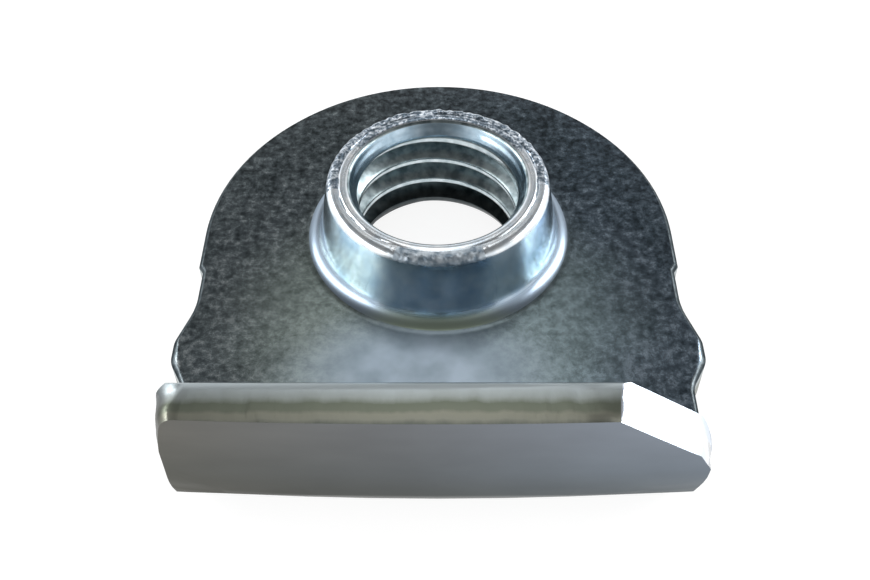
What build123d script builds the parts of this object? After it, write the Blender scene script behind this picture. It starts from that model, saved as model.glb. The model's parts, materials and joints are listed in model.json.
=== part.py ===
from build123d import *
from math import asin, degrees
import os

# One stamped and plated steel part: a flat plate with a round head, a threaded collar
# drawn up out of it, and a flange folded up along its straight end.
# The origin is on the collar's axis in the plane of the plate's upper side, so the sheet
# lies below it. +Z is the way the collar stands, +Y is toward the round head, and the
# flange closes the -Y end.

# sheet
sheet = 2.5               # thickness of the steel
edge_roll = 0.25          # how far blanking draws the edge down on the upper side
burnish = 1.1             # smooth band of a sheared edge, next to the upper side

# outline of the blank, down one side: lengths run toward -Y, one after the other
head_radius = 12.65       # round head, also half the width over its straight sides
side_length = 2.45        # straight sides
step_in = 0.25            # small step in from them
step_length = 0.4
waist_length = 2.35       # straight again
shoulder_out = 0.75       # from the waist out to the shoulders
flare_length = 2.25
shoulder_length = 1.3     # straight over the shoulders
neck_in = 0.85            # from the shoulders in to the neck
taper_length = 1.55
neck_length = 3.3         # straight on to the flange's inner face
waist_radius = 4.0        # hollow where the sides start to widen
shoulder_radius = 1.4     # the shoulders' corners
neck_radius = 1.2         # hollow corners below the shoulders

# flange
flange_height = 5.0       # above the plate's upper side
flange_top_drop = 0.1     # the torn band of the top edge falls by this to the outer face
flange_lean = 0.25        # the outer face leans back by this from the fold to the top
flange_bow = 0.3          # and curves back by this toward the ends
end_radius = 7.0          # the ends, seen from the front, swell out between fold and top
end_middle = 2.2          # height of their widest place
end_sweep = 28            # degrees of that arc below it, before it runs straight down
end_drop = 0.55           # each end's torn band falls in by this
bend_radius = 0.35        # inside of the fold
corner_cut_width = 4.35   # sheared corner, along the flange's top
corner_cut_depth = 3.1    # and down its end
corner_cut_skew = 0.5     # how much wider the shear cut is at the outer face
corner_turn_width = 0.5   # near the end the cut turns steeper: its last width
corner_turn_depth = 1.0   # and depth
corner_radius = 1.1       # the other top corner
corner_clear = 0.03       # its curve would end this far above the top edge

# bore, before its M10 x 1.5 thread is cut
bore_radius = 4.19        # to the thread's crests
lead_in = 0.43            # how much wider the cone at the rim gets
lead_in_depth = 0.85
mouth_radius = 1.0        # rounding that the punch leaves on the underside

# collar
collar_height = 3.9       # above the plate's upper side
foot_wall = 2.21          # its wall at the plate, from the thread's crests outward
rim_wall = 1.53           # and at the rim
root_radius = 1.05        # hollow where the collar rises from the plate
rim_radius = 0.45         # rounded outer edge of the rim

# half widths, and distances from the collar's axis toward -Y
waist_half = head_radius - step_in
shoulder_half = waist_half + shoulder_out
neck_half = shoulder_half - neck_in
flange_outer_half = neck_half - end_drop
waist_start = side_length + step_length
waist_end = waist_start + waist_length
shoulder_start = waist_end + flare_length
shoulder_end = shoulder_start + shoulder_length
neck_start = shoulder_end + taper_length
flange_inner = neck_start + neck_length
flange_torn = flange_inner + burnish
flange_reach = flange_inner + sheet
bend_outer_radius = bend_radius + sheet
corner_rise = flange_height + corner_clear - corner_radius - end_middle
corner_angle = degrees(asin(corner_rise / (end_radius - corner_radius)))
corner_turn = flange_outer_half - corner_turn_width
corner_turn_height = flange_height - corner_cut_depth * (1 - corner_turn_width / corner_cut_width)
collar_foot_radius = bore_radius + foot_wall
collar_rim_radius = bore_radius + rim_wall

with BuildPart() as insert_plate:
    # plate, fold and flange in section, made wider than the blank
    with BuildSketch(Plane.YZ) as section:
        with BuildLine():
            FilletPolyline(
                (head_radius, -sheet),
                (-flange_reach, -sheet),
                (-flange_reach, flange_height - flange_top_drop),
                (-flange_torn, flange_height),
                (-flange_inner, flange_height),
                (-flange_inner, 0),
                (head_radius, 0),
                radius=[0, bend_outer_radius, 0, 0, 0, bend_radius, 0],
                close=True,
            )
        make_face()
    extrude(amount=shoulder_half, both=True)

    # the blank's outline, cut from that section
    with BuildSketch(Plane.XY.offset(-sheet)) as blank:
        with BuildLine():
            Line((0, -flange_reach), (neck_half, -flange_reach))
            FilletPolyline(
                (neck_half, -flange_reach),
                (neck_half, -neck_start),
                (shoulder_half, -shoulder_end),
                (shoulder_half, -shoulder_start),
                (waist_half, -waist_end),
                (waist_half, -waist_start),
                (head_radius, -side_length),
                (head_radius, 0),
                radius=[neck_radius, shoulder_radius, shoulder_radius, waist_radius, 0, 0],
            )
            mirror(about=Plane.YZ)
            ThreePointArc((head_radius, 0), (0, head_radius), (-head_radius, 0))
        make_face()
    extrude(amount=sheet + flange_height, mode=Mode.INTERSECT)

    # edge roll round the plate's upper side and the flange's inner face, but not in the fold
    upper_side = insert_plate.faces().filter_by(Plane.XY).filter_by_position(
        Axis.Z, -edge_roll, edge_roll
    )
    inner_side = insert_plate.faces().filter_by(Plane.XZ).filter_by_position(
        Axis.Y, -flange_inner - edge_roll, -flange_inner + edge_roll
    )
    chamfer(
        upper_side[0].outer_wire().edges().sort_by(Axis.Y)[1:]
        + inner_side[0].outer_wire().edges().sort_by(Axis.Z)[1:],
        length=edge_roll,
    )

    # outer face of the flange
    with BuildSketch(Plane.XY.offset(-sheet)) as outer_side:
        with BuildLine():
            ThreePointArc(
                (-shoulder_half, flange_bow - flange_reach),
                (0, -flange_reach),
                (shoulder_half, flange_bow - flange_reach),
            )
            Polyline(
                (shoulder_half, flange_bow - flange_reach),
                (shoulder_half, -flange_reach - sheet),
                (-shoulder_half, -flange_reach - sheet),
                (-shoulder_half, flange_bow - flange_reach),
            )
        make_face()
    lean = (0, flange_lean, flange_height + sheet)
    extrude(amount=2 * (flange_height + sheet), dir=lean, mode=Mode.SUBTRACT)

    # its ends and top corner: the cut leaves them at the burnished band and fades out past the fold
    with BuildPart(mode=Mode.PRIVATE) as end_cut:
        with BuildSketch(Plane.XZ.offset(flange_reach)) as end_side:
            with BuildLine():
                end_centre = (flange_outer_half - end_radius, end_middle)
                swell = CenterArc(end_centre, end_radius, -end_sweep, end_sweep + corner_angle)
                turn = JernArc(swell @ 1, swell % 1, radius=corner_radius, arc_size=90 - corner_angle)
                Polyline(
                    turn @ 1,
                    turn @ 1 + (0, sheet),
                    (shoulder_half + sheet, flange_height + sheet),
                    (shoulder_half + sheet, -2 * sheet),
                    swell @ 0 - (0, 2 * sheet),
                    swell @ 0,
                )
            make_face()
        extrude(amount=4 * sheet, dir=(end_drop, sheet - burnish, 0))
        mirror(about=Plane.YZ)
    add(end_cut.part, mode=Mode.SUBTRACT)

    # sheared corner of the flange, slanting a little through the thickness
    with BuildSketch(Plane.XZ.offset(flange_reach)) as corner:
        with BuildLine():
            Polyline(
                (flange_outer_half - 1.5 * corner_cut_width, flange_height + corner_cut_depth / 2),
                (corner_turn, corner_turn_height),
                (corner_turn + 2 * corner_turn_width, corner_turn_height - 2 * corner_turn_depth),
                (neck_half + sheet, corner_turn_height - 2 * corner_turn_depth),
                (neck_half + sheet, flange_height + corner_cut_depth / 2),
                close=True,
            )
        make_face()
    extrude(amount=1.5 * sheet, dir=(corner_cut_skew, sheet, 0), mode=Mode.SUBTRACT)

    # collar with its hollow root and rounded rim
    with BuildSketch(Plane.XZ) as collar:
        with BuildLine():
            FilletPolyline(
                (0, -sheet),
                (collar_foot_radius + 2 * root_radius, -sheet),
                (collar_foot_radius + 2 * root_radius, 0),
                (collar_foot_radius, 0),
                (collar_rim_radius, collar_height),
                (0, collar_height),
                radius=[0, 0, 0, root_radius, rim_radius, 0],
                close=True,
            )
        make_face()
    revolve(axis=Axis.Z)

    # bore: rounded mouth below, plain length for the thread, lead-in cone above
    with BuildSketch(Plane.XZ) as bore:
        with BuildLine():
            Polyline(
                (bore_radius, mouth_radius - sheet),
                (bore_radius, collar_height - lead_in_depth),
                (bore_radius + lead_in, collar_height),
                (0, collar_height),
                (0, -sheet),
                (bore_radius + mouth_radius, -sheet),
            )
            RadiusArc(
                (bore_radius + mouth_radius, -sheet),
                (bore_radius, mouth_radius - sheet),
                mouth_radius,
            )
        make_face()
    revolve(axis=Axis.Z, mode=Mode.SUBTRACT)

insert_plate.part.label = "insert_plate"
os.makedirs("parts", exist_ok=True)
export_step(insert_plate.part, "parts/insert_plate.step")
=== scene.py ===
import bpy
import json
from math import atan2, cos, degrees, exp, hypot, pi, radians, sin, sqrt, tan, tau
from mathutils import Matrix, Vector, noise


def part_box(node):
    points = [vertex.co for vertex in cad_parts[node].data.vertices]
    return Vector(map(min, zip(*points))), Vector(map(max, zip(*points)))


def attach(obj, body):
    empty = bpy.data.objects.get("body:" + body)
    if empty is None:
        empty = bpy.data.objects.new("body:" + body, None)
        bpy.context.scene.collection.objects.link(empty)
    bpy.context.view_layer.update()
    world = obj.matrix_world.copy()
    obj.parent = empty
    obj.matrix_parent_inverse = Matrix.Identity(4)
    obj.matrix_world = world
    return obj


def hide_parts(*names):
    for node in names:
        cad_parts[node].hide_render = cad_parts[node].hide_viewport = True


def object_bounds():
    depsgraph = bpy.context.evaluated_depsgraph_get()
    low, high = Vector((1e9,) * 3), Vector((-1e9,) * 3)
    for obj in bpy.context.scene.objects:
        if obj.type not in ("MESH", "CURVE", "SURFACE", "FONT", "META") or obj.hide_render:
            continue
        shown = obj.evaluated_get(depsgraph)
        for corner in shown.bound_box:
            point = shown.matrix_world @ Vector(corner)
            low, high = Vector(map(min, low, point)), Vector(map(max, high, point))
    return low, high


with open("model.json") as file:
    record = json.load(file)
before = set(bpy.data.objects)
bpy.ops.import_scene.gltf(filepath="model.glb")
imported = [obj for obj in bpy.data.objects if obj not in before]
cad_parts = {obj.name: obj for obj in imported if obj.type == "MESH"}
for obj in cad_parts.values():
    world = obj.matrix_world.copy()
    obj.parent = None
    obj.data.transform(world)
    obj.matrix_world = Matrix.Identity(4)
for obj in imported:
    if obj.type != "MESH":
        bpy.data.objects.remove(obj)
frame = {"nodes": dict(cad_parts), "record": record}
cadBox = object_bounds()
mm = 0.001
thread = {m["name"]: m for m in frame["record"]["mounts"]}["thread"]
boreRadius = thread["dims"]["r_mm"] * mm
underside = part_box("insert_plate")[0].z


def pick(piece, kind, test):
    # leaves the piece in edit mode with just the chosen edges or faces selected
    bpy.ops.object.mode_set(mode="OBJECT")
    mesh = piece.data
    for items in (mesh.vertices, mesh.edges, mesh.polygons):
        items.foreach_set("select", [False] * len(items))
    if kind == "FACE":
        for face in mesh.polygons:
            face.select = test(face.center)
    if kind == "EDGE":
        for edge in mesh.edges:
            a, b = (mesh.vertices[i].co for i in edge.vertices)
            edge.select = test(a, b)
    bpy.ops.object.mode_set(mode="EDIT")
    bpy.ops.mesh.select_mode(type=kind)


def workOn(piece):
    if bpy.context.mode != "OBJECT":
        bpy.ops.object.mode_set(mode="OBJECT")
    bpy.ops.object.select_all(action="DESELECT")
    piece.select_set(True)
    bpy.context.view_layer.objects.active = piece


def smoothStep(low, high, value):
    t = min(max((value - low) / (high - low), 0), 1)
    return t * t * (3 - 2 * t)


def arc(centre, radius, start, end, steps):
    # points of an arc in the collar's section, angles in degrees
    angles = [radians(start + (end - start) * i / steps) for i in range(steps + 1)]
    return [(centre[0] + radius * cos(a), centre[1] + radius * sin(a)) for a in angles]


def between(start, end, steps):
    # points from start to end, without start
    return [tuple(a + (b - a) * i / steps for a, b in zip(start, end)) for i in range(1, steps + 1)]


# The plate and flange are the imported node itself, without the disc round its collar.
plate = {
    "bareRadius": 8.45 * mm,     # the node's faces nearer the axis make way for the collar
    "sameLevel": 0.01 * mm,
    "seamSlack": 0.1 * mm,       # how near the seam round the collar an open edge has to be
    "weld": 0.001 * mm,          # points nearer each other than this are one
}
flange = {
    "foldEdge": -12.9 * mm,      # everything beyond this is fold or flange
    "foldCentre": (-13.25 * mm, 0.35 * mm),
    "foldInside": 1.5 * mm,      # nearer that centre than this is the inside of the fold
    "foldOut": 0.12 * mm,        # the fold is a little sharper in its middle
    "foldIn": 0.45 * mm,         # and rounder at its ends
    # extra edges for the easing, in millimetres across, up and through the flange
    "cutsAcross": (-11.9, -11.4, -10.6, -9.6, -8, -6, -3, 0, 3, 6, 8, 9.6, 10.6, 11.4, 11.9),
    "cutsUp": (-1.4, -0.9, -0.4, 0.1, 0.9, 1.7, 2.5, 3.3, 4.0, 4.45, 4.65, 4.8, 4.92),
    "cutsDeep": (-14.2, -15.3),
}
# How the pressed flange differs from its drawing, in millimetres; pairs are from and to.
easing = {
    "halfWidth": 12,
    "outerSide": (14.0, 15.2),   # distances from the axis, from the inner face to the outer one
    "drawnMiddle": 2.2,          # height and radius of the arc that the ends were drawn with
    "drawnRadius": 7,
    "pressedMiddle": 0.8,        # and of the straighter one that they have
    "pressedRadius": 14,
    "pressedOut": 0.15,          # how far that stands out, and the most it may
    "pressedMost": 0.36,
    "footOut": 0.3,              # the ends stand out further beside the fold
    "footHeights": (-1.0, 0.6),
    "endWidths": (9.0, 10.9),    # distances from the middle, over which all this sets in
    "endLimit": 11.95,
    "rightShare": 0.6,           # the right end is eased less than the left
    "leanIn": 0.26,              # the left end's inner side leans in
    "leanHeights": (1.5, 3.0),
    "topIn": 0.15,               # a little more at its top
    "topHeights": (4.2, 5.0),
    "leanWidths": (9.5, 12.0),
    "cornerFrom": 4.4,           # and its corner there is rounder
    "cornerHeight": 0.6,
    "cornerIn": 0.45,
}


def sag(distance, radius):
    # how far an arc has fallen at a distance from its middle
    return distance ** 2 / (2 * radius)


def endSwell(z):
    # how far the ends' outer side stands out from its drawing
    e = easing
    pressed = sag(z - e["pressedMiddle"], e["pressedRadius"])
    drawn = sag(z - e["drawnMiddle"], e["drawnRadius"])
    foot = e["footOut"] * (1 - smoothStep(*e["footHeights"], z))
    return min(e["pressedOut"] - pressed + drawn, e["pressedMost"]) + foot


def endTuck(z):
    # how far the left end's inner side leans in
    e = easing
    corner = min(max((z - e["cornerFrom"]) / e["cornerHeight"], 0), 1)
    lean = e["leanIn"] * smoothStep(*e["leanHeights"], z) + e["topIn"] * smoothStep(*e["topHeights"], z)
    return lean + e["cornerIn"] * (1 - sqrt(1 - corner * corner))


def easeFlange(point):
    # the pressed flange isn't quite as even as a drawn one: its ends stand straighter than the cuts
    # that shape them, and its fold tightens in the middle
    if point.y > flange["foldEdge"]:
        return
    e = easing
    x, y, z = abs(point.x) / mm, point.y / mm, point.z / mm
    side = -1 if point.x < 0 else 1
    share = 1 if side < 0 else e["rightShare"]
    tuck = endTuck(z) if side < 0 else 0
    outer = smoothStep(*e["outerSide"], -y)
    swollen = x + smoothStep(*e["endWidths"], x) * outer * share * endSwell(z)
    leant = smoothStep(*e["leanWidths"], x) * (1 - outer) * tuck
    point.x = side * mm * (max(x, min(swollen, e["endLimit"])) - leant)
    away = Vector((0, point.y - flange["foldCentre"][0], point.z - flange["foldCentre"][1]))
    if away.y < 0 and away.z < 0 and away.length > flange["foldInside"]:
        folded = 2 * away.y * away.z / away.length_squared
        push = flange["foldOut"] - flange["foldIn"] * (x / e["halfWidth"]) ** 2
        point.y = max(point.y + push * folded * away.y / away.length, cadBox[0].y)
        point.z = max(point.z + push * folded * away.z / away.length, underside)


def makePlate():
    piece = bpy.data.objects.new("stampedPlate", frame["nodes"]["insert_plate"].data.copy())
    bpy.context.scene.collection.objects.link(piece)
    piece.data.materials.clear()
    workOn(piece)
    bpy.ops.object.mode_set(mode="EDIT")
    bpy.ops.mesh.select_all(action="SELECT")
    bpy.ops.mesh.customdata_custom_splitnormals_clear()
    bpy.ops.mesh.remove_doubles(threshold=plate["weld"])
    pick(piece, "FACE", lambda c: hypot(c.x, c.y) < plate["bareRadius"])
    bpy.ops.mesh.delete(type="FACE")
    cuts = [((1, 0, 0), x) for x in flange["cutsAcross"]]
    cuts += [((0, 0, 1), z) for z in flange["cutsUp"]] + [((0, 1, 0), y) for y in flange["cutsDeep"]]
    for normal, place in cuts:
        pick(piece, "FACE", lambda c: c.y < flange["foldEdge"])
        bpy.ops.mesh.bisect(plane_co=[n * place * mm for n in normal], plane_no=normal)
    bpy.ops.object.mode_set(mode="OBJECT")
    for point in piece.data.vertices:
        easeFlange(point.co)
    print("plate:", len(piece.data.polygons), "faces")
    return piece


# The collar is turned from a fine section, so that its torn rim can be worked in.
collar = {
    "outerRadius": 8.2 * mm,     # where its section meets the plate, on both sides
    "height": 3.9 * mm,
    "footRadius": 6.4 * mm,
    "rimRadius": 5.72 * mm,
    "rootHollow": 1.05 * mm,
    "rimRound": 0.45 * mm,
    "leadIn": 0.43 * mm,
    "lipRound": 0.3 * mm,        # rounding between the rim and the lead-in
    "leadInDepth": 0.85 * mm,
    "mouthRound": 1.0 * mm,
    # steps of its section, from the plate over the rim to the underside, and round the axis
    "rootSteps": 14,
    "wallSteps": 10,
    "rimSteps": 18,
    "topSteps": 18,
    "lipSteps": 8,
    "leadInSteps": 6,
    "boreSteps": 4,
    "mouthSteps": 12,
    "spinSteps": 600,
}
rim = {
    "foldRadius": 5.14 * mm,     # a fine fold parts the smooth inner band from the torn outer one
    "foldWidth": 0.05 * mm,
    "foldDepth": 0.08 * mm,
    "foldLeast": 0.35,           # in places its depth falls to this share
    "foldClear": (-0.3, 0.3),    # levels of the noise between which it comes back
    "foldOften": 4,              # how often it comes and goes, on a rim of radius 1
    "foldWander": 0.06 * mm,
    "wanderOften": 3,
    "lipMiddle": 4.92 * mm,      # the smooth band is a low rounded lip
    "lipHalfWidth": 0.22 * mm,
    "lipHeight": 0.04 * mm,
    "tornWidth": 0.25 * mm,      # the torn band reaches its full height over this
    "toothWidth": 0.3 * mm,
    "toothLength": 1.2 * mm,
    "toothHeight": 0.1 * mm,
    "teethFrom": (-0.1, 0.35),   # they stand round the rear and set in between these shares of +Y
    "teethRagged": 0.3,
    "teethOften": 2.2,
    "patchFrom": -112,           # the broken patch toward the flange, in degrees round the axis
    "patchTo": -66,
    "patchFade": 8,
    "patchGrain": 0.22 * mm,
    "patchFractal": (0.8, 2.0, 3),   # its noise's falloff, step in size and number of sizes
    "patchHeight": 0.045 * mm,
}


def collarSection():
    c = collar
    lean = atan2(c["footRadius"] - c["rimRadius"], c["height"])
    half = tan((pi / 2 - lean) / 2)
    rootCentre = (c["footRadius"] + c["rootHollow"] * half, c["rootHollow"])
    root = arc(rootCentre, c["rootHollow"], -90, -180 + degrees(lean), c["rootSteps"])
    rimCentre = (c["rimRadius"] - c["rimRound"] * half, c["height"] - c["rimRound"])
    rimArc = arc(rimCentre, c["rimRound"], degrees(lean), 90, c["rimSteps"])
    top = boreRadius + c["leadIn"]
    mouthCentre = (boreRadius + c["mouthRound"], underside + c["mouthRound"])
    cone = atan2(c["leadIn"], c["leadInDepth"])
    lipCentre = (top + c["lipRound"] * tan((pi / 2 - cone) / 2), c["height"] - c["lipRound"])
    lip = arc(lipCentre, c["lipRound"], 90, 180 - degrees(cone), c["lipSteps"])
    points = [(c["outerRadius"], 0)] + root
    points += between(root[-1], rimArc[0], c["wallSteps"])[:-1] + rimArc
    points += between(rimArc[-1], lip[0], c["topSteps"])[:-1] + lip
    points += between(points[-1], (boreRadius, c["height"] - c["leadInDepth"]), c["leadInSteps"])
    points += between(points[-1], (boreRadius, mouthCentre[1]), c["boreSteps"])
    points += arc(mouthCentre, c["mouthRound"], 180, 270, c["mouthSteps"])[1:]
    return points + [(c["outerRadius"], underside)]


def patchShare(turn):
    # 1 on the broken patch and 0 away from it
    fade = rim["patchFade"]
    begun = smoothStep(rim["patchFrom"] - fade, rim["patchFrom"] + fade, turn)
    ended = smoothStep(rim["patchTo"] - fade, rim["patchTo"] + fade, turn)
    return begun * (1 - ended)


def foldDepthAt(radius, around):
    # the fine fold, which wanders and comes and goes round the rim
    wander = rim["foldWander"] * noise.noise(around * rim["wanderOften"])
    across = (radius - rim["foldRadius"] - wander) / rim["foldWidth"]
    clear = smoothStep(*rim["foldClear"], noise.noise(around * rim["foldOften"] + Vector((5, 0, 0))))
    return rim["foldDepth"] * exp(-across * across) * (rim["foldLeast"] + (1 - rim["foldLeast"]) * clear)


def tearRim(point):
    # how far a point of the rim stands up or down from the turned shape
    if point.z < collar["height"] - collar["rimRound"]:
        return 0
    radius = hypot(point.x, point.y)
    around = Vector((point.x, point.y, 0)) / radius
    patch = patchShare(degrees(atan2(point.y, point.x)))
    lip = 1
    if radius < rim["foldRadius"]:
        lip = min(((radius - rim["lipMiddle"]) / rim["lipHalfWidth"]) ** 2, 1)
    outer = smoothStep(rim["foldRadius"], rim["foldRadius"] + rim["tornWidth"], radius)
    along = Vector((0, 0, radius / rim["toothLength"]))
    teeth = noise.noise(around * radius / rim["toothWidth"] + along)
    ragged = rim["teethRagged"] * noise.noise(around * rim["teethOften"] + Vector((0, 3, 0)))
    toothed = smoothStep(*rim["teethFrom"], around.y + ragged)
    rough = noise.fractal(Vector((point.x, point.y, 0)) / rim["patchGrain"], *rim["patchFractal"])
    lift = outer * toothed * rim["toothHeight"] * teeth + patch * outer * rim["patchHeight"] * rough
    return lift - foldDepthAt(radius, around) * (1 - patch) - rim["lipHeight"] * lip


def makeCollar():
    section = collarSection()
    bpy.ops.mesh.primitive_plane_add(size=0.1 * mm, location=(section[0][0], 0, section[0][1]))
    piece = bpy.context.active_object
    piece.name = "collar"
    workOn(piece)
    bpy.ops.object.transform_apply(location=True, rotation=True, scale=True)
    bpy.ops.object.mode_set(mode="EDIT")
    bpy.ops.mesh.select_all(action="SELECT")
    bpy.ops.mesh.merge(type="CENTER")
    bpy.ops.mesh.select_mode(type="VERT")
    bpy.ops.mesh.select_all(action="SELECT")
    for (r0, z0), (r1, z1) in zip(section, section[1:]):
        bpy.ops.mesh.extrude_region_move(TRANSFORM_OT_translate={"value": (r1 - r0, 0, z1 - z0)})
    bpy.ops.mesh.select_all(action="SELECT")
    bpy.ops.mesh.spin(steps=collar["spinSteps"], angle=tau, center=(0, 0, 0), axis=(0, 0, 1))
    bpy.ops.mesh.select_all(action="SELECT")
    bpy.ops.mesh.remove_doubles(threshold=plate["weld"])
    bpy.ops.mesh.normals_make_consistent(inside=False)
    bpy.ops.object.mode_set(mode="OBJECT")
    for point in piece.data.vertices:
        point.co.z += tearRim(point.co)
    print("collar:", len(piece.data.polygons), "faces")
    return piece


def openEdges(piece):
    # of the chosen edges, keeps those with a face on one side only
    bpy.ops.object.mode_set(mode="OBJECT")
    mesh = piece.data
    uses = {}
    for face in mesh.polygons:
        for key in face.edge_keys:
            uses[key] = uses.get(key, 0) + 1
    kept = [edge for edge in mesh.edges if edge.select and uses.get(edge.key, 0) == 1]
    mesh.vertices.foreach_set("select", [False] * len(mesh.vertices))
    mesh.edges.foreach_set("select", [False] * len(mesh.edges))
    for edge in kept:
        edge.select = True
        for i in edge.vertices:
            mesh.vertices[i].select = True
    bpy.ops.object.mode_set(mode="EDIT")
    bpy.ops.mesh.select_mode(type="EDGE")


def joinPieces(piece, other):
    workOn(piece)
    other.select_set(True)
    bpy.ops.object.join()
    low = collar["outerRadius"] - plate["seamSlack"]
    high = plate["bareRadius"] + plate["seamSlack"]
    for level in (0, underside):
        pick(piece, "EDGE", lambda a, b: all(
            abs(p.z - level) < plate["sameLevel"] and low < hypot(p.x, p.y) < high for p in (a, b)))
        openEdges(piece)
        bpy.ops.mesh.bridge_edge_loops()
    bpy.ops.mesh.select_all(action="SELECT")
    bpy.ops.mesh.normals_make_consistent(inside=False)
    bpy.ops.object.mode_set(mode="OBJECT")
    return piece


# The M10 x 1.5 thread, right-hand, cut by a tap that stops below the rim.
tap = {
    "pitch": 1.5 * mm,
    "rootRadius": 5.0 * mm,
    "grooveAtCrest": 1.125 * mm,   # three quarters of the pitch is open at the crests
    "rootFlat": 0.1875 * mm,
    "insideRadius": 4.0 * mm,
    "crestRound": 0.07 * mm,
    # in shares of that rounding: its points, out and up from the crest's edge, and the flank's start
    "crestCurve": [(-1.0, 1.6), (0.4, 0.2)],
    "flankFrom": 1.5,
    "upperEdge": 2.68 * mm,        # the top groove's upper edge, at the wall toward +Y
    "start": -4,                   # turns, counted from the groove at that edge
    "end": 0.62,
    "runOut": 0.3,                 # turns over which the groove fades below the rim
    "stepsPerTurn": 120,
    "weld": 0.0005 * mm,
}


def tapSection():
    # radii and heights round the groove's middle; each half runs from inside the bore to the root
    t = tap
    halfMouth, halfRoot = t["grooveAtCrest"] / 2, t["rootFlat"] / 2
    slope = (halfMouth - halfRoot) / (t["rootRadius"] - boreRadius)
    rounding = t["crestRound"]
    half = [(t["insideRadius"], halfMouth + slope * (boreRadius - t["insideRadius"]) + rounding)]
    half += [(boreRadius + out * rounding, halfMouth + up * rounding) for out, up in t["crestCurve"]]
    half += [
        (boreRadius + t["flankFrom"] * rounding, halfMouth - t["flankFrom"] * slope * rounding),
        (t["rootRadius"], halfRoot),
    ]
    return [(r, -z) for r, z in half] + [(r, z) for r, z in reversed(half)]


def fadeTap(piece, startLevel, turns):
    # draws the tap's last stretch in, so that the groove runs out below the rim
    t = tap
    depth = t["rootRadius"] - t["insideRadius"] + t["crestRound"]
    for point in piece.data.vertices:
        angle = atan2(point.co.y, point.co.x) % tau / tau
        turn = round((point.co.z - startLevel) / t["pitch"] - angle) + angle
        fade = smoothStep(turns - t["runOut"], turns, turn) * depth
        along = hypot(point.co.x, point.co.y)
        point.co.x *= (along - fade) / along
        point.co.y *= (along - fade) / along


def makeTap():
    t = tap
    section = tapSection()
    # the helix starts on +X, a quarter turn before the wall toward +Y
    startLevel = t["upperEdge"] - t["grooveAtCrest"] / 2 - t["pitch"] / 4 + t["start"] * t["pitch"]
    turns = t["end"] - t["start"] + 0.25
    bpy.ops.mesh.primitive_circle_add(vertices=len(section), radius=1 * mm, fill_type="NGON")
    piece = bpy.context.active_object
    piece.name = "tap"
    for point, (r, z) in zip(piece.data.vertices, section):
        point.co = (r, 0, startLevel + z)
    workOn(piece)
    screw = piece.modifiers.new("helix", "SCREW")
    screw.axis = "Z"
    screw.angle = turns * tau
    screw.screw_offset = turns * t["pitch"]
    screw.steps = screw.render_steps = round(turns * t["stepsPerTurn"])
    bpy.ops.object.modifier_apply(modifier="helix")
    fadeTap(piece, startLevel, turns)
    bpy.ops.object.mode_set(mode="EDIT")
    bpy.ops.mesh.select_mode(type="VERT")
    bpy.ops.mesh.select_all(action="SELECT")
    bpy.ops.mesh.remove_doubles(threshold=tap["weld"])
    bpy.ops.mesh.select_all(action="SELECT")
    bpy.ops.mesh.fill_holes(sides=0)
    bpy.ops.mesh.select_all(action="SELECT")
    bpy.ops.mesh.normals_make_consistent(inside=False)
    bpy.ops.object.mode_set(mode="OBJECT")
    return piece


def cutThread(piece, cutter):
    workOn(piece)
    cut = piece.modifiers.new("thread", "BOOLEAN")
    cut.operation = "DIFFERENCE"
    cut.solver = "EXACT"
    cut.object = cutter
    bpy.ops.object.modifier_apply(modifier="thread")
    bpy.data.objects.remove(cutter)
    bpy.ops.object.mode_set(mode="EDIT")
    bpy.ops.mesh.select_all(action="SELECT")
    bpy.ops.mesh.remove_doubles(threshold=tap["weld"])
    bpy.ops.object.mode_set(mode="OBJECT")
    print("threaded:", len(piece.data.polygons), "faces")


shading = {
    "sharpAngle": 50,
    "weight": 100,               # how much the wide faces count
}


def smoothShading(piece):
    # rounds the rolled edges in the shading and keeps the wide faces flat
    workOn(piece)
    bpy.ops.object.shade_smooth_by_angle(angle=radians(shading["sharpAngle"]))
    weigh = piece.modifiers.new("weigh", "WEIGHTED_NORMAL")
    weigh.keep_sharp = True
    weigh.weight = shading["weight"]
    bpy.ops.object.modifier_apply(modifier="weigh")


body = joinPieces(makePlate(), makeCollar())
cutThread(body, makeTap())
smoothShading(body)
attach(body, "root")
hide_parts("insert_plate")


def linear(hexColour):
    channels = [int(hexColour[i:i + 2], 16) / 255 for i in (1, 3, 5)]
    return [c / 12.92 if c <= 0.04045 else ((c + 0.055) / 1.055) ** 2.4 for c in channels] + [1]


def addNode(tree, kind, inputs, stops=(), **settings):
    # a shader node with its values or links by socket, and a ramp's stops; returns its outputs
    node = tree.nodes.new("ShaderNode" + kind)
    for name, value in settings.items():
        setattr(node, name, value)
    for socket, value in inputs.items():
        if isinstance(value, bpy.types.NodeSocket):
            tree.links.new(value, node.inputs[socket])
        elif isinstance(value, str):
            node.inputs[socket].default_value = linear(value)
        else:
            node.inputs[socket].default_value = value
    for i, (place, colour) in enumerate(stops):
        element = node.color_ramp.elements[i] if i < 2 else node.color_ramp.elements.new(place)
        element.position = place
        element.color = linear(colour)
    return node.outputs


def zinc(name, roughness):
    # zinc-plated steel, a bare metal surface; the place it returns is in millimetres on the piece
    material = bpy.data.materials.new(name)
    material.use_nodes = True
    tree = material.node_tree
    shader = tree.nodes["Principled BSDF"]
    shader.inputs["Metallic"].default_value = 1
    shader.inputs["Roughness"].default_value = roughness
    spot = addNode(tree, "TexCoord", {})["Object"]
    place = addNode(tree, "VectorMath", {0: spot, "Scale": 1 / mm}, operation="SCALE")[0]
    return material, tree, shader, place


# Widths of the largest grains in each finish's pattern, in millimetres.
grain = {
    "speckle": 0.5,
    "cloud": 2.5,
    "rolled": 0.3333,
    "folded": 1.4286,
    "ironed": 1.25,
    "bore": 0.5556,
    "lip": 0.8333,
    "broken": 0.3333,
    "torn": 0.2222,
    "sheared": 0.7692,
    "cut": 1.25,
}
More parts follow.
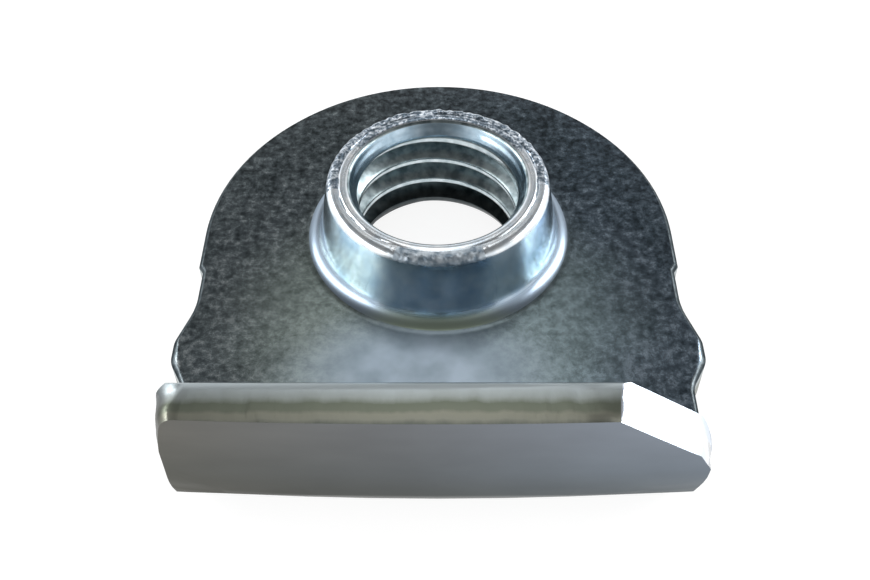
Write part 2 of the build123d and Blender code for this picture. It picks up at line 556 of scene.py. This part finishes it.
# The sheet's speckle softens and is painted lighter in an oval round the collar's front, and a
# painted sheen, bright and even, lies in a smaller one toward the flange: both are painted reflections.
# Reaches are half sizes in millimetres, and edges are the shares of them where each oval begins and
# where it is full.
paintedSheen = {
    "wideSheenMiddle": (0, -6, 0),
    "wideSheenReach": (10, 8, 1.6667),
    "wideSheenEdges": (1.25, 0.7),
    "coreSheenMiddle": (-1, -9.5, 0),
    "coreSheenReach": (10, 5.8824, 1.6667),
    "coreSheenEdges": (0.8, 0.2),
}


def ovalShare(tree, place, ragged, middle, reach, edges):
    # 1 inside an oval with a ragged, soft outline, falling to 0 outside it
    spot = addNode(tree, "VectorMath", {0: place, 1: middle}, operation="SUBTRACT")[0]
    oval = addNode(tree, "VectorMath", {0: spot, 1: reach}, operation="DIVIDE")[0]
    away = addNode(tree, "VectorMath", {0: oval}, operation="LENGTH")["Value"]
    away = addNode(tree, "Math", {0: away, 1: ragged}, operation="ADD")[0]
    return addNode(tree, "MapRange", {
        "Value": away, "From Min": edges[0], "From Max": edges[1]}, interpolation_type="SMOOTHSTEP")[0]


def sheetFinish():
    # cold-rolled sheet under zinc: dark, softly speckled, bluer to the right, painted lighter toward
    # the front, and with a painted sheen, bright and even, between collar and flange
    material, tree, shader, place = zinc("zincPlatedColdRolledSheet", 0.27)
    fine = addNode(tree, "TexNoise", {
        "Vector": place, "Scale": 1 / grain["speckle"], "Detail": 3.0, "Roughness": 0.75})[0]
    cloud = addNode(tree, "TexNoise", {"Vector": place, "Scale": 1 / grain["cloud"], "Detail": 3.0})[0]
    x, y = addNode(tree, "SeparateXYZ", {0: place})[:2]
    patchy = addNode(tree, "MapRange", {"Value": cloud, "To Min": -0.12, "To Max": 0.12})[0]
    # painted light: the sheet is painted lighter toward the front and darker toward the rear
    paintedFrontLight = addNode(tree, "MapRange", {
        "Value": y, "From Min": 12.0, "From Max": -12.0, "To Min": -0.04, "To Max": 0.15})[0]
    mottled = addNode(tree, "Math", {0: fine, 1: patchy}, operation="ADD")[0]
    mottled = addNode(tree, "Math", {0: mottled, 1: paintedFrontLight}, operation="ADD")[0]
    speckle = addNode(tree, "ValToRGB", {0: mottled}, stops=[
        (0.34, "#2d3437"), (0.5, "#555e62"), (0.62, "#747e82"), (0.76, "#a3abae")])[0]
    wideSheenSpeckle = addNode(tree, "ValToRGB", {0: mottled}, stops=[(0.35, "#54605c"), (0.75, "#96a29f")])[0]
    coreSheenColour = addNode(tree, "ValToRGB", {0: cloud}, stops=[(0.35, "#94a3ae"), (0.65, "#b6c5d2")])[0]
    across = addNode(tree, "MapRange", {"Value": x, "From Min": -12.0, "From Max": 12.0})[0]
    side = addNode(tree, "ValToRGB", {0: across}, stops=[(0.3, "#fafafa"), (0.85, "#dde7f6")])[0]
    r = paintedSheen
    # painted reflection: the two ovals lighten the sheet round the collar's front
    wideSheen = ovalShare(tree, place, patchy, r["wideSheenMiddle"], r["wideSheenReach"], r["wideSheenEdges"])
    coreSheen = ovalShare(tree, place, patchy, r["coreSheenMiddle"], r["coreSheenReach"], r["coreSheenEdges"])
    colour = addNode(tree, "Mix", {0: wideSheen, 6: speckle, 7: wideSheenSpeckle}, data_type="RGBA")[2]
    colour = addNode(tree, "VectorMath", {0: colour, 1: side}, operation="MULTIPLY")[0]
    colour = addNode(tree, "Mix", {0: coreSheen, 6: colour, 7: coreSheenColour}, data_type="RGBA")[2]
    tree.links.new(colour, shader.inputs["Base Color"])
    rough = addNode(tree, "MapRange", {"Value": coreSheen, "To Min": 0.27, "To Max": 0.42})[0]
    tree.links.new(rough, shader.inputs["Roughness"])
    bumped = addNode(tree, "Bump", {"Height": fine, "Distance": 0.01 * mm, "Strength": 0.2})[0]
    tree.links.new(bumped, shader.inputs["Normal"])
    return material


def rolledFinish():
    # the plate's edge, drawn down by blanking: duller than the sheet, so that it shows as a grey line
    material, tree, shader, place = zinc("zincPlatedRolledEdge", 0.4)
    shader.inputs["Specular Tint"].default_value = linear("#8a8a8a")
    fine = addNode(tree, "TexNoise", {"Vector": place, "Scale": 1 / grain["rolled"], "Detail": 3.0})[0]
    tone = addNode(tree, "ValToRGB", {0: fine}, stops=[(0.35, "#4f565a"), (0.65, "#6c7478")])[0]
    tree.links.new(tone, shader.inputs["Base Color"])
    return material


def foldFinish():
    # the flange's outer face, dulled and faintly streaked by the folding die, browner to the left,
    # and painted darker toward the fold below, a painted shade
    material, tree, shader, place = zinc("zincPlatedFoldedFace", 0.36)
    along = addNode(tree, "SeparateXYZ", {0: place})
    drawn = addNode(tree, "VectorMath", {0: place, 1: (0.35, 0.35, 1)}, operation="MULTIPLY")[0]
    cloud = addNode(tree, "TexNoise", {"Vector": drawn, "Scale": 1 / grain["folded"], "Detail": 4.0})[0]
    across = addNode(tree, "MapRange", {
        "Value": along["X"], "From Min": -12.0, "From Max": 12.0})[0]
    side = addNode(tree, "ValToRGB", {0: across}, stops=[
        (0.0, "#5f5e59"), (0.45, "#64676a"), (0.8, "#737a83"), (1.0, "#79818c")])[0]
    streaked = addNode(tree, "MapRange", {"Value": cloud, "To Min": 0.98, "To Max": 1.32})[0]
    # painted shade: darker toward the fold below
    upward = addNode(tree, "MapRange", {"Value": along["Z"], "From Min": -1.0, "From Max": 4.0})[0]
    shade = addNode(tree, "ValToRGB", {0: upward}, stops=[
        (0.0, "#c0c0b6"), (0.45, "#e3e6e5"), (1.0, "#ffffff")])[0]
    tone = addNode(tree, "VectorMath", {0: side, 1: shade}, operation="MULTIPLY")[0]
    tone = addNode(tree, "VectorMath", {0: tone, "Scale": streaked}, operation="SCALE")[0]
    tree.links.new(tone, shader.inputs["Base Color"])
    return material


def collarFinish():
    # drawn and ironed by the punch, so smooth that it mirrors what stands round it; its hollow root
    # is stretched but not ironed and rougher, and painted darker, a painted shade, with a painted green
    # reflection toward the flange
    material, tree, shader, place = zinc("zincPlatedDrawnCollar", 0.17)
    cloud = addNode(tree, "TexNoise", {"Vector": place, "Scale": 1 / grain["ironed"], "Detail": 3.0})[0]
    ironed = addNode(tree, "ValToRGB", {0: cloud}, stops=[(0.35, "#b8cfe4"), (0.65, "#deecf7")])[0]
    y, height = addNode(tree, "SeparateXYZ", {0: place})[1:3]
    # painted shade in the hollow root, with a painted green reflection toward the flange
    front = addNode(tree, "MapRange", {
        "Value": y, "From Min": -5.4, "From Max": -7.0}, interpolation_type="SMOOTHSTEP")[0]
    drawn = addNode(tree, "ValToRGB", {0: front}, stops=[(0.0, "#8c9baa"), (1.0, "#b2c2af")])[0]
    low = addNode(tree, "MapRange", {
        "Value": height, "From Min": 0.75, "From Max": 0.35}, interpolation_type="SMOOTHSTEP")[0]
    tone = addNode(tree, "Mix", {0: low, 6: ironed, 7: drawn}, data_type="RGBA")[2]
    tree.links.new(tone, shader.inputs["Base Color"])
    rough = addNode(tree, "MapRange", {"Value": low, "To Min": 0.17, "To Max": 0.28})[0]
    tree.links.new(rough, shader.inputs["Roughness"])
    return material


def boreToneWithPaintedShade(tree, place, dark, light):
    # a cloudy tone with painted shade that darkens it toward the bore's lower end
    cloud = addNode(tree, "TexNoise", {"Vector": place, "Scale": 1 / grain["bore"], "Detail": 4.0})[0]
    tone = addNode(tree, "ValToRGB", {0: cloud}, stops=[(0.35, dark), (0.65, light)])[0]
    height = addNode(tree, "SeparateXYZ", {0: place})[2]
    # painted shade: darker toward the bore's lower end
    level = addNode(tree, "MapRange", {
        "Value": height, "From Min": -1.3, "From Max": -0.5,
        "To Min": 0.12}, interpolation_type="SMOOTHSTEP")[0]
    return addNode(tree, "VectorMath", {0: tone, "Scale": level}, operation="SCALE")[0]


def threadFinish():
    # the bore and the thread's crests, cut bright by the tap
    material, tree, shader, place = zinc("zincPlatedTappedCrest", 0.2)
    tree.links.new(boreToneWithPaintedShade(tree, place, "#b4c4ca", "#dbe6ea"), shader.inputs["Base Color"])
    return material


def entryFinish():
    # the lead-in cone, pressed by the punch and bluer than the tapped wall
    material, tree, shader, place = zinc("zincPlatedLeadIn", 0.2)
    cloud = addNode(tree, "TexNoise", {"Vector": place, "Scale": 1 / grain["lip"], "Detail": 4.0})[0]
    tone = addNode(tree, "ValToRGB", {0: cloud}, stops=[(0.35, "#9ab2c2"), (0.65, "#bcd0de")])[0]
    tree.links.new(tone, shader.inputs["Base Color"])
    return material


def flankFinish():
    # the thread's flanks, left dull by the tap, and painted darker than the crests, a painted shade
    material, tree, shader, place = zinc("zincPlatedTappedFlank", 0.3)
    # painted shade: the flanks take a darker copy of the crests' tone
    tree.links.new(boreToneWithPaintedShade(tree, place, "#6a767a", "#a3b0b3"), shader.inputs["Base Color"])
    return material


def rimFinish():
    # the lip that the punch left smooth, the brightest part of the collar
    material, tree, shader, place = zinc("zincPlatedRimLip", 0.26)
    cloud = addNode(tree, "TexNoise", {"Vector": place, "Scale": 1 / grain["lip"], "Detail": 3.0})[0]
    tone = addNode(tree, "ValToRGB", {0: cloud}, stops=[(0.35, "#d4dfe8"), (0.65, "#f2f6f9")])[0]
    tree.links.new(tone, shader.inputs["Base Color"])
    return material


def brokenFinish():
    # the rim's broken patch toward the flange, matt and even
    material, tree, shader, place = zinc("zincPlatedBrokenPatch", 0.45)
    fine = addNode(tree, "TexNoise", {"Vector": place, "Scale": 1 / grain["broken"], "Detail": 3.0})[0]
    tone = addNode(tree, "ValToRGB", {0: fine}, stops=[(0.38, "#8796a3"), (0.62, "#d0dae2")])[0]
    tree.links.new(tone, shader.inputs["Base Color"])
    return material


def tornFinish():
    # the rim, where the punch broke through: bright, with dark flecks in the tears
    material, tree, shader, place = zinc("zincPlatedTornRim", 0.3)
    fine = addNode(tree, "TexNoise", {
        "Vector": place, "Scale": 1 / grain["torn"], "Detail": 3.0, "Roughness": 0.7})[0]
    tone = addNode(tree, "ValToRGB", {0: fine}, stops=[
        (0.4, "#5a6874"), (0.5, "#8f9dab"), (0.6, "#e6eef6")])[0]
    tree.links.new(tone, shader.inputs["Base Color"])
    bumped = addNode(tree, "Bump", {"Height": fine, "Distance": 0.02 * mm, "Strength": 0.5})[0]
    tree.links.new(bumped, shader.inputs["Normal"])
    return material


# Depths below the rolled upper side, in shares of the sheet, with a sheared edge's colour there:
# rolled, burnished bright, then torn in dull bands.
shearBands = [
    (0.0, "#8c969a"), (0.08, "#a6b0b4"), (0.2, "#aeb7ba"), (0.38, "#959c99"), (0.5, "#6b7165"),
    (0.63, "#6f7468"), (0.7, "#848579"), (0.8, "#828379"), (0.9, "#62665f"), (1.0, "#6b7072"),
]


def shearFinish():
    # blanked edge of the sheet, followed round the fold onto the flange's top, where the left end
    # is painted darker, a painted shade that dims the left soft box's reflection on its corner
    material, tree, shader, place = zinc("zincPlatedShearedEdge", 0.36)
    x, y, z = addNode(tree, "SeparateXYZ", {0: place})[:3]
    foldBack, foldUp = (value / mm for value in flange["foldCentre"])
    back = addNode(tree, "Math", {0: foldBack, 1: y}, operation="SUBTRACT")[0]
    down = addNode(tree, "Math", {0: foldUp, 1: z}, operation="SUBTRACT")[0]
    corner = addNode(tree, "CombineXYZ", {0: back, 1: down})[0]
    corner = addNode(tree, "VectorMath", {0: corner, 1: (0, 0, 0)}, operation="MAXIMUM")[0]
    reach = addNode(tree, "VectorMath", {0: corner}, operation="LENGTH")["Value"]
    drawn = addNode(tree, "VectorMath", {0: place, 1: (1, 0.5, 0.5)}, operation="MULTIPLY")[0]
    streak = addNode(tree, "TexNoise", {
        "Vector": drawn, "Scale": 1 / grain["sheared"], "Detail": 4.0})[0]
    ragged = addNode(tree, "MapRange", {"Value": streak, "To Min": -0.55, "To Max": -0.15})[0]
    depth = addNode(tree, "Math", {0: reach, 1: ragged}, operation="ADD")[0]
    share = addNode(tree, "Math", {0: depth, 1: -underside / mm}, operation="DIVIDE")[0]
    tone = addNode(tree, "ValToRGB", {0: share}, stops=shearBands)[0]
    # painted shade: the left end's tone is scaled down
    inward = addNode(tree, "MapRange", {
        "Value": x, "From Min": -11.75, "From Max": -11.1,
        "To Min": 0.28}, interpolation_type="SMOOTHSTEP")[0]
    beside = addNode(tree, "MapRange", {"Value": y, "From Min": -13.7, "From Max": -13.2})[0]
    level = addNode(tree, "Math", {0: inward, 1: beside}, operation="MAXIMUM")[0]
    tone = addNode(tree, "VectorMath", {0: tone, "Scale": level}, operation="SCALE")[0]
    tree.links.new(tone, shader.inputs["Base Color"])
    bumped = addNode(tree, "Bump", {"Height": streak, "Distance": 0.03 * mm, "Strength": 0.5})[0]
    tree.links.new(bumped, shader.inputs["Normal"])
    return material


def cutFinish():
    # the corner sheared off after folding, the brightest face of all
    material, tree, shader, place = zinc("zincPlatedCutCorner", 0.25)
    cloud = addNode(tree, "TexNoise", {"Vector": place, "Scale": 1 / grain["cut"], "Detail": 2.0})[0]
    tone = addNode(tree, "ValToRGB", {0: cloud}, stops=[(0.4, "#dde9f7"), (0.6, "#f6f9fc")])[0]
    tree.links.new(tone, shader.inputs["Base Color"])
    return material


# Where one finish gives way to the next: radii, heights and distances in millimetres, turns in
# degrees round the axis.
finishEdge = {
    "plateRadius": 7.35,
    "rimHeight": 3.45,
    "lipRadius": 4.7,
    "tornRadius": 5.12,
    "smoothTurns": (-172, -5),   # toward the flange the rim's outer band isn't torn
    "tornLipRadius": 4.72,
    "tornLipTurns": (25, 150),   # at the rear the lip is torn too
    "boreRadius": 5.25,
    "boreBottom": -2.49,
    "entryHeights": (3.06, 3.72),
    "rootHeight": 0.06,
    "insideFold": -13.2,
    "outsideFold": -13.55,
    "foldUnder": -0.3,
    "leftEnd": -10.5,
    # how far a face has to turn toward an axis, from 0 to 1
    "upward": 0.3,
    "level": 0.9,
    "inward": 0.8,
    "topUp": 0.5,
    "cutAcross": 0.35,
    "endAcross": 0.6,
    "leftAcross": 0.15,
}


def collarFinishOf(radius, turn, z, normal):
    e = finishEdge
    if z > e["rimHeight"] and radius > e["lipRadius"]:
        outer = radius > e["tornRadius"]
        if outer and rim["patchFrom"] < turn < rim["patchTo"]:
            return "broken"
        if outer and not e["smoothTurns"][0] <= turn <= e["smoothTurns"][1]:
            return "torn"
        if radius > e["tornLipRadius"] and e["tornLipTurns"][0] < turn < e["tornLipTurns"][1]:
            return "torn"
        return "rim"
    if radius < e["boreRadius"] and z > e["boreBottom"]:
        upward = normal.z > e["upward"]
        if upward and e["entryHeights"][0] < z < e["entryHeights"][1]:
            return "entry"
        return "flank" if upward else "thread"
    return "collar" if z > e["rootHeight"] else "sheet"


def plateFinishOf(normal):
    e = finishEdge
    if abs(normal.z) > e["level"]:
        return "sheet"
    return "rolled" if normal.z > e["upward"] else "shear"


def flangeFinishOf(x, normal):
    e = finishEdge
    if normal.x > e["cutAcross"] and normal.z > e["upward"]:
        return "cut"
    if normal.y > e["inward"]:
        return "sheet"
    leftEnd = x < e["leftEnd"] and normal.x < -e["leftAcross"]
    if normal.z > e["topUp"] or abs(normal.x) > e["endAcross"] or leftEnd:
        return "shear"
    return "fold"


def finishOf(centre, normal):
    # which finish a face takes, by where it lies on the part and how it faces
    e = finishEdge
    x, y, z = (value / mm for value in centre)
    radius = hypot(x, y)
    if radius < e["plateRadius"]:
        return collarFinishOf(radius, degrees(atan2(y, x)), z, normal)
    if y > e["insideFold"] or (y > e["outsideFold"] and z < e["foldUnder"]):
        return plateFinishOf(normal)
    if y > e["outsideFold"]:
        return "sheet"
    return flangeFinishOf(x, normal)


def dress(piece):
    finishes = {
        "sheet": sheetFinish(), "rolled": rolledFinish(), "fold": foldFinish(), "collar": collarFinish(),
        "thread": threadFinish(), "entry": entryFinish(), "flank": flankFinish(), "rim": rimFinish(),
        "torn": tornFinish(), "broken": brokenFinish(), "shear": shearFinish(), "cut": cutFinish(),
    }
    names = list(finishes)
    for name in names:
        piece.data.materials.append(finishes[name])
    for face in piece.data.polygons:
        face.material_index = names.index(finishOf(face.center, face.normal))
    print("finishes:", ", ".join(names))


dress(body)


# The camera's place, its turns in degrees, and its lens and sensor in camera millimetres.
view = {
    "spot": (0.30 * mm, -40.85 * mm, 41.99 * mm),
    "down": 48.91,
    "turn": 0.71,
    "roll": -0.636,
    "lens": 44.68,
    "sensor": 36,
    "nearest": 1 * mm,
    "farthest": 10,
}


def makeCamera():
    camera = bpy.data.cameras.new("camera")
    camera.lens = view["lens"]
    camera.sensor_width = view["sensor"]
    camera.clip_start = view["nearest"]
    camera.clip_end = view["farthest"]
    seen = bpy.data.objects.new("camera", camera)
    bpy.context.scene.collection.objects.link(seen)
    seen.matrix_world = (
        Matrix.Translation(view["spot"])
        @ Matrix.Rotation(radians(view["turn"]), 4, "Z")
        @ Matrix.Rotation(radians(90 - view["down"]), 4, "X")
        @ Matrix.Rotation(radians(view["roll"]), 4, "Z")
    )
    bpy.context.scene.camera = seen
    print("camera done")


studio = {
    "horizon": 1.25,             # brightness of the white walls
    "ceiling": 0.15,             # and of the dark ceiling
    "wallTop": 8,                # degrees up, where the walls start to dim
    "ceilingFrom": 54,
    "frontLevel": 0.15,          # the side toward the flange is dimmer by this
    "frontWidth": 50,            # over this many degrees each way
    "floorSize": 4.0,
    "floorColour": "#f2f2f2",
    "floorSeen": "#8a8a8a",      # the floor's own shading where it is seen or mirrored
    "floorGlow": 0.9,
    "reach": 0.4,                # of the soft boxes from the part
}
softBoxes = {
    "left": {"azimuth": 178, "elevation": 25, "width": 0.5, "height": 0.13, "brightness": 6.0},
    "right": {"azimuth": 18, "elevation": 25, "width": 0.28, "height": 0.13, "brightness": 9.0},
    "overhead": {"azimuth": 90, "elevation": 67, "width": 0.12, "height": 0.22, "brightness": 1.9},
}


def makeWorld():
    world = bpy.data.worlds.new("studio")
    bpy.context.scene.world = world
    world.use_nodes = True
    tree = world.node_tree
    background = tree.nodes["Background"]
    toward = addNode(tree, "TexCoord", {})["Generated"]
    y, height = addNode(tree, "SeparateXYZ", {0: toward})[1:3]
    wallTop, ceilingFrom = (sin(radians(studio[name])) for name in ("wallTop", "ceilingFrom"))
    dim = addNode(tree, "MapRange", {
        "Value": height, "From Min": wallTop, "From Max": ceilingFrom,
        "To Min": studio["horizon"], "To Max": studio["ceiling"]}, interpolation_type="SMOOTHSTEP")[0]
    away = addNode(tree, "Math", {0: y, 1: -1.0}, operation="MULTIPLY")[0]
    front = addNode(tree, "MapRange", {
        "Value": away, "From Min": cos(radians(studio["frontWidth"])), "From Max": 1.0,
        "To Min": 1.0, "To Max": studio["frontLevel"]}, interpolation_type="SMOOTHSTEP")[0]
    dim = addNode(tree, "Math", {0: dim, 1: front}, operation="MULTIPLY")[0]
    seen = addNode(tree, "LightPath", {})["Is Camera Ray"]
    level = addNode(tree, "Mix", {0: seen, 2: dim, 3: 1.0}, data_type="FLOAT")[0]
    background.inputs["Color"].default_value = linear("#ffffff")
    tree.links.new(level, background.inputs["Strength"])


def makeFloor():
    bpy.ops.mesh.primitive_plane_add(size=studio["floorSize"], location=(0, 0, underside))
    floor = bpy.context.active_object
    floor.name = "floor"
    paint = bpy.data.materials.new("whiteFloor")
    paint.use_nodes = True
    tree = paint.node_tree
    tree.nodes.remove(tree.nodes["Principled BSDF"])
    plain = addNode(tree, "BsdfDiffuse", {"Color": studio["floorColour"]})[0]
    shaded = addNode(tree, "BsdfDiffuse", {"Color": studio["floorSeen"]})[0]
    glow = addNode(tree, "Emission", {"Color": "#ffffff", "Strength": studio["floorGlow"]})[0]
    bright = addNode(tree, "AddShader", {0: shaded, 1: glow})[0]
    path = addNode(tree, "LightPath", {})
    seen = addNode(tree, "Math", {
        0: path["Is Camera Ray"], 1: path["Is Glossy Ray"]}, operation="MAXIMUM")[0]
    seen = addNode(tree, "Math", {0: seen, 1: path["Is Transmission Ray"]}, operation="MAXIMUM")[0]
    mixed = addNode(tree, "MixShader", {0: seen, 1: plain, 2: bright})[0]
    tree.links.new(mixed, tree.nodes["Material Output"].inputs["Surface"])
    floor.data.materials.append(paint)


def makeLights():
    for name, box in softBoxes.items():
        light = bpy.data.lights.new(name, "AREA")
        light.shape = "RECTANGLE"
        light.size = box["width"]
        light.size_y = box["height"]
        # the power that makes a lamp of this size that bright
        light.energy = box["brightness"] * pi * box["width"] * box["height"]
        lamp = bpy.data.objects.new(name, light)
        bpy.context.scene.collection.objects.link(lamp)
        around, up = radians(box["azimuth"]), radians(box["elevation"])
        toward = Vector((cos(around) * cos(up), sin(around) * cos(up), sin(up)))
        lamp.location = toward * studio["reach"]
        lamp.rotation_euler = toward.to_track_quat("Z", "Y").to_euler()
    print("studio done")


makeCamera()
makeWorld()
makeFloor()
makeLights()
bpy.context.scene.view_settings.view_transform = "Standard"
